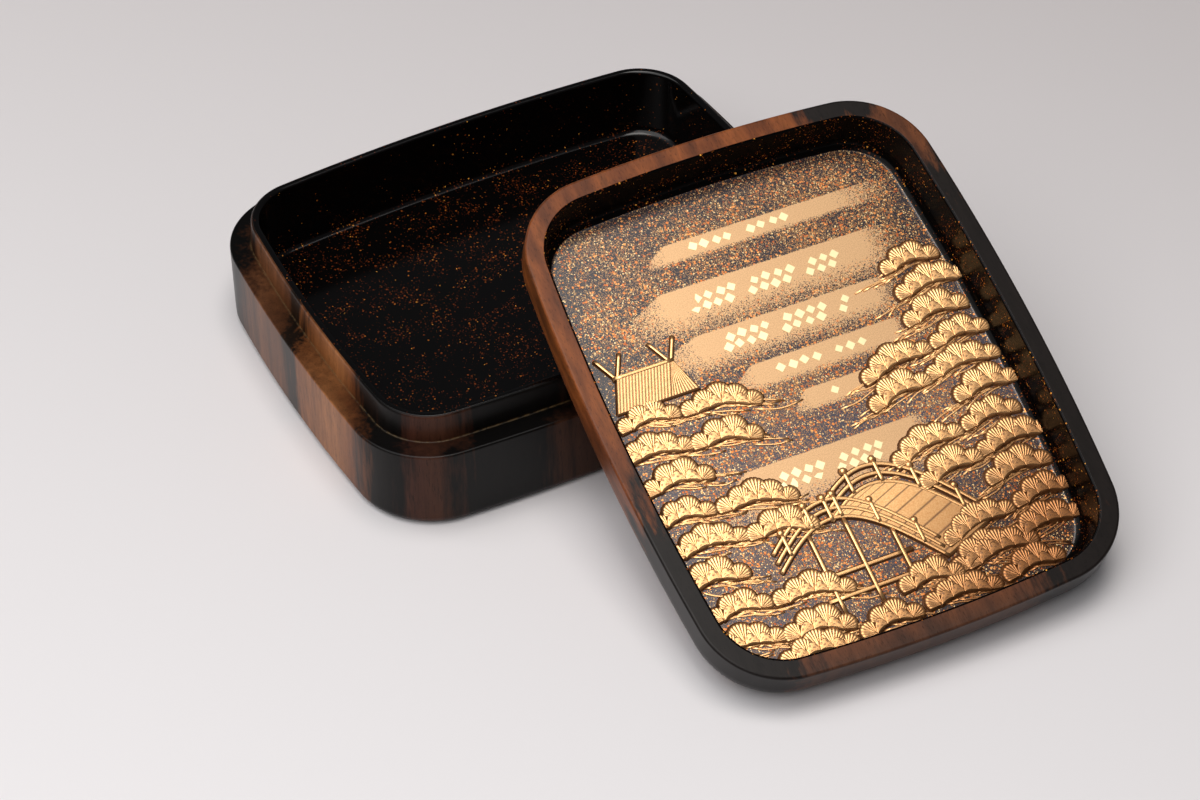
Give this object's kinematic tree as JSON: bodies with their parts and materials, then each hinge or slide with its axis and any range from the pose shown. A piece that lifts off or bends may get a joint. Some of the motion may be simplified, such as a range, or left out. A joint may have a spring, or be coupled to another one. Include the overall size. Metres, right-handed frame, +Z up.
{
  "type": "incense box",
  "caption": "Rounded rectangular wooden incense box with a raised inner rim, and its shallow lid lying beside it inside up, with a low relief picture.",
  "frame": {"origin": "middle of the box's flat underside", "axes": "+Z up, X along the box's length, -Y towards the side that the lid leans on"},
  "size_m": [0.0961, 0.1257, 0.037],
  "materials": {
    "striped_persimmon": "striped black persimmon wood, oiled and polished",
    "lacquered_persimmon": "persimmon wood, its hollow in black lacquer sprinkled with gold, with a gold relief picture",
    "black_lacquer": "polished black lacquer with sparse gold flakes",
    "relief_gold": "matte gold powder on raised lacquer",
    "cut_gold": "bright squares of cut gold leaf"
  },
  "bodies": {
    "root": {"box": "striped_persimmon", "lid": "lacquered_persimmon"}
  },
  "joints": []
}
